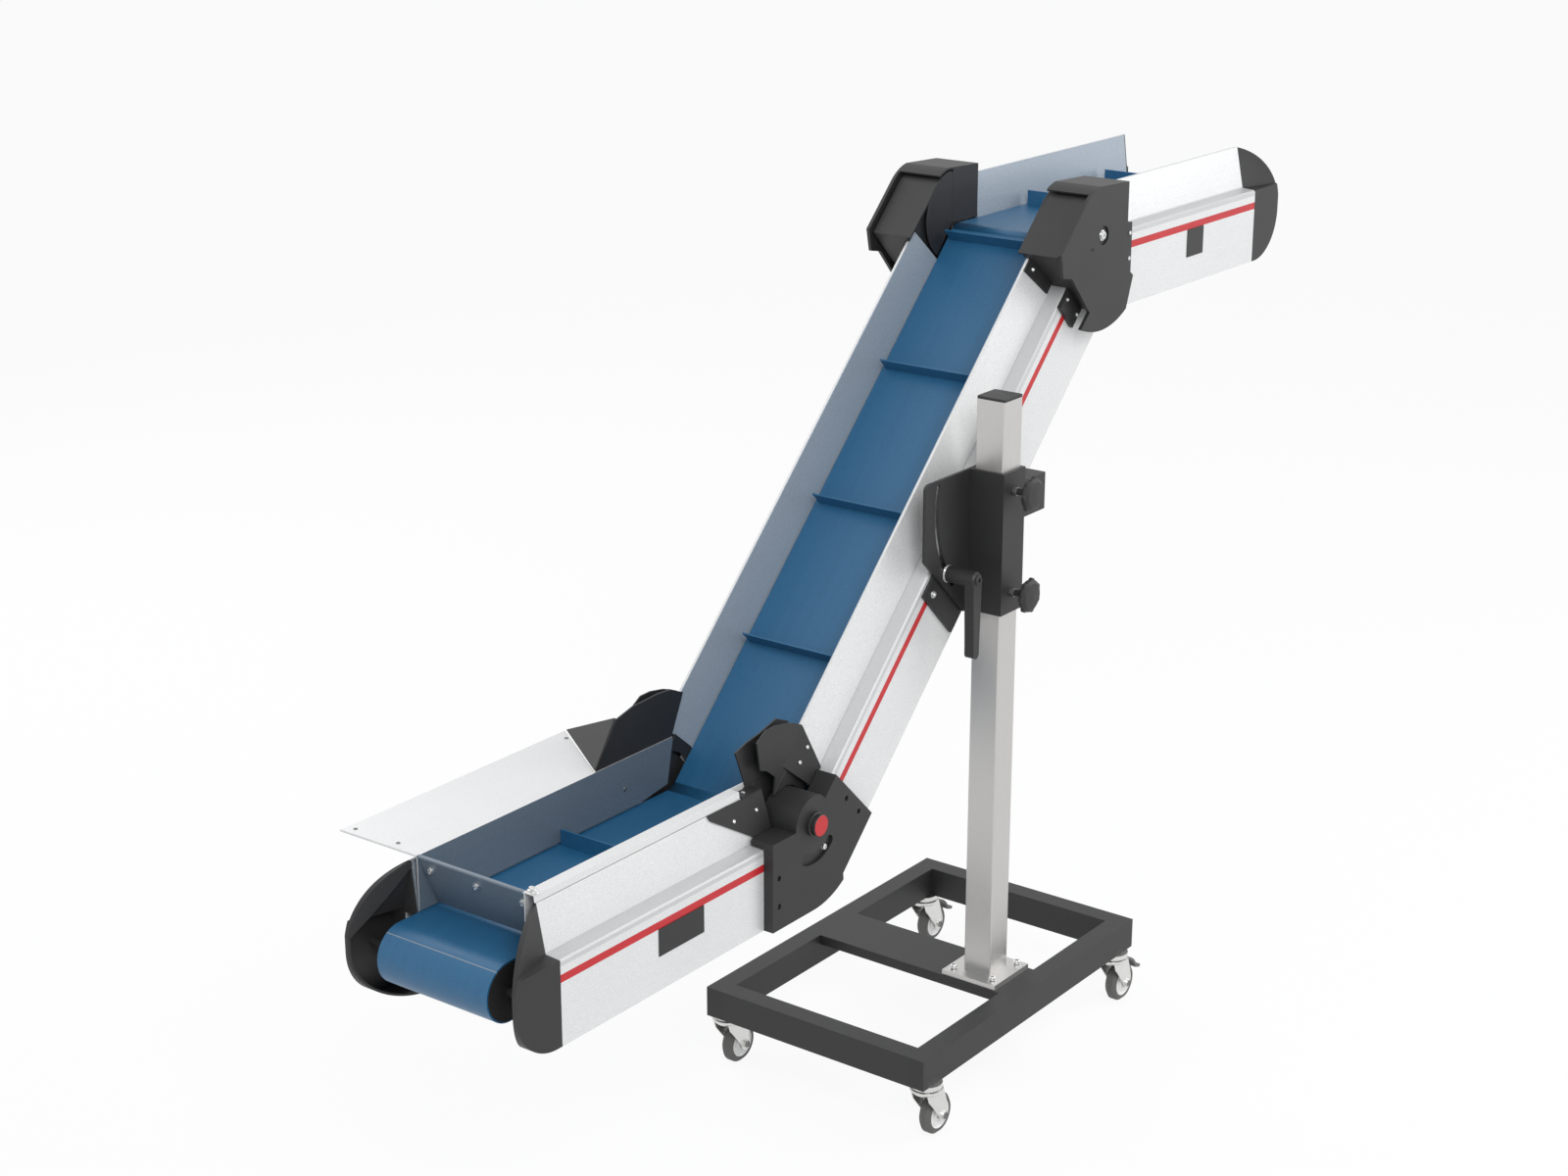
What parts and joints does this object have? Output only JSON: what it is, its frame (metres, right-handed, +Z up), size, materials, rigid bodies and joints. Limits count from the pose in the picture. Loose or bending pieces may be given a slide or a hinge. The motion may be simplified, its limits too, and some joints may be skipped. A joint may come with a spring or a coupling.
{
  "type": "angle conveyor",
  "caption": "Cleated belt conveyor with a level infeed under a hopper, a steep incline and a level discharge, held by a clamp on a post with a castor base.",
  "frame": {"origin": "on the floor, under the middle of the rectangular base frame", "axes": "+X the way the belt carries goods, +Y from the post's side across the conveyor, +Z up"},
  "size_m": [2.4255, 0.646, 1.65],
  "materials": {
    "frame_steel": "matt powder coat",
    "post_steel": "brushed along the post",
    "zinc": "bright zinc",
    "tread": "satin grey",
    "grey_plastic": "fine moulded texture",
    "black_plastic": "fine moulded texture",
    "profile": "satin anodised",
    "bed_steel": "plain sheet",
    "belt": "smooth, slightly glossy",
    "stripe": "gloss",
    "red_cap": "gloss",
    "sheet": "satin sheet",
    "drum": "turned"
  },
  "bodies": {
    "stand": {"side_rails": "frame_steel", "rail_plugs": "black_plastic", "cross_rails": "frame_steel", "post_flange": "frame_steel", "post": "post_steel", "post_cap": "black_plastic", "castor_cups": "zinc"},
    "fork_front_near": {"castor_fork_front_near": "zinc"},
    "wheel_front_near": {"castor_wheel_front_near": "tread"},
    "fork_front_far": {"castor_fork_front_far": "zinc"},
    "wheel_front_far": {"castor_wheel_front_far": "tread"},
    "fork_back_near": {"castor_fork_back_near": "zinc", "castor_brake_back_near": "grey_plastic"},
    "wheel_back_near": {"castor_wheel_back_near": "tread"},
    "fork_back_far": {"castor_fork_back_far": "zinc", "castor_brake_back_far": "grey_plastic"},
    "wheel_back_far": {"castor_wheel_back_far": "tread"},
    "clamp": {"post_sleeve": "frame_steel", "pivot_housing": "frame_steel", "slot_plate": "frame_steel", "clamp_knobs": "black_plastic"},
    "incline": {"incline_sides": "profile", "incline_stripes": "stripe", "incline_bed": "bed_steel", "incline_belt": "belt", "tilt_plate": "frame_steel", "tilt_pin": "zinc", "clamp_lever": "black_plastic", "lower_knee_incline": "black_plastic", "upper_knee_incline": "black_plastic", "incline_visors": "black_plastic"},
    "infeed": {"infeed_sides": "profile", "infeed_stripes": "stripe", "infeed_bed": "bed_steel", "infeed_belt": "belt", "infeed_drum": "drum", "infeed_caps": "black_plastic", "hopper": "sheet", "lower_knee_infeed": "black_plastic", "hinge_caps": "red_cap", "infeed_visors": "black_plastic", "infeed_cover": "black_plastic"},
    "discharge": {"discharge_sides": "profile", "discharge_stripes": "stripe", "discharge_bed": "bed_steel", "discharge_belt": "belt", "discharge_drum": "drum", "discharge_caps": "black_plastic", "upper_knee_discharge": "black_plastic", "discharge_cover": "black_plastic"}
  },
  "joints": [
    {"name": "post_slide", "type": "slide", "parent": "stand", "child": "clamp", "axis": [0, 0, 1], "range_m": [-0.15, 0.12]},
    {"name": "tilt", "type": "hinge", "parent": "clamp", "child": "incline", "pos_m": [0.07091, 0.095, 1.12875], "axis": [0, -1, 0], "range_deg": [-46, 5]},
    {"name": "infeed_knee", "type": "hinge", "parent": "incline", "child": "infeed", "pos_m": [-0.522, 0.095, 0.661], "axis": [0, 1, 0], "range_deg": [-15, 15]},
    {"name": "discharge_knee", "type": "hinge", "parent": "incline", "child": "discharge", "pos_m": [0.37249, 0.095, 1.55549], "axis": [0, -1, 0], "range_deg": [-10, 10]},
    {"name": "swivel_front_near", "type": "hinge", "parent": "stand", "child": "fork_front_near", "pos_m": [-0.335, -0.23, 0.1], "axis": [0, 0, 1], "continuous": true},
    {"name": "spin_front_near", "type": "hinge", "parent": "fork_front_near", "child": "wheel_front_near", "pos_m": [-0.305, -0.23, 0.04], "axis": [0, 1, 0], "continuous": true},
    {"name": "swivel_front_far", "type": "hinge", "parent": "stand", "child": "fork_front_far", "pos_m": [-0.335, 0.23, 0.1], "axis": [0, 0, 1], "continuous": true},
    {"name": "spin_front_far", "type": "hinge", "parent": "fork_front_far", "child": "wheel_front_far", "pos_m": [-0.305, 0.23, 0.04], "axis": [0, 1, 0], "continuous": true},
    {"name": "swivel_back_near", "type": "hinge", "parent": "stand", "child": "fork_back_near", "pos_m": [0.335, -0.23, 0.1], "axis": [0, 0, 1], "continuous": true},
    {"name": "spin_back_near", "type": "hinge", "parent": "fork_back_near", "child": "wheel_back_near", "pos_m": [0.365, -0.23, 0.04], "axis": [0, 1, 0], "continuous": true},
    {"name": "swivel_back_far", "type": "hinge", "parent": "stand", "child": "fork_back_far", "pos_m": [0.335, 0.23, 0.1], "axis": [0, 0, 1], "continuous": true},
    {"name": "spin_back_far", "type": "hinge", "parent": "fork_back_far", "child": "wheel_back_far", "pos_m": [0.365, 0.23, 0.04], "axis": [0, 1, 0], "continuous": true}
  ]
}
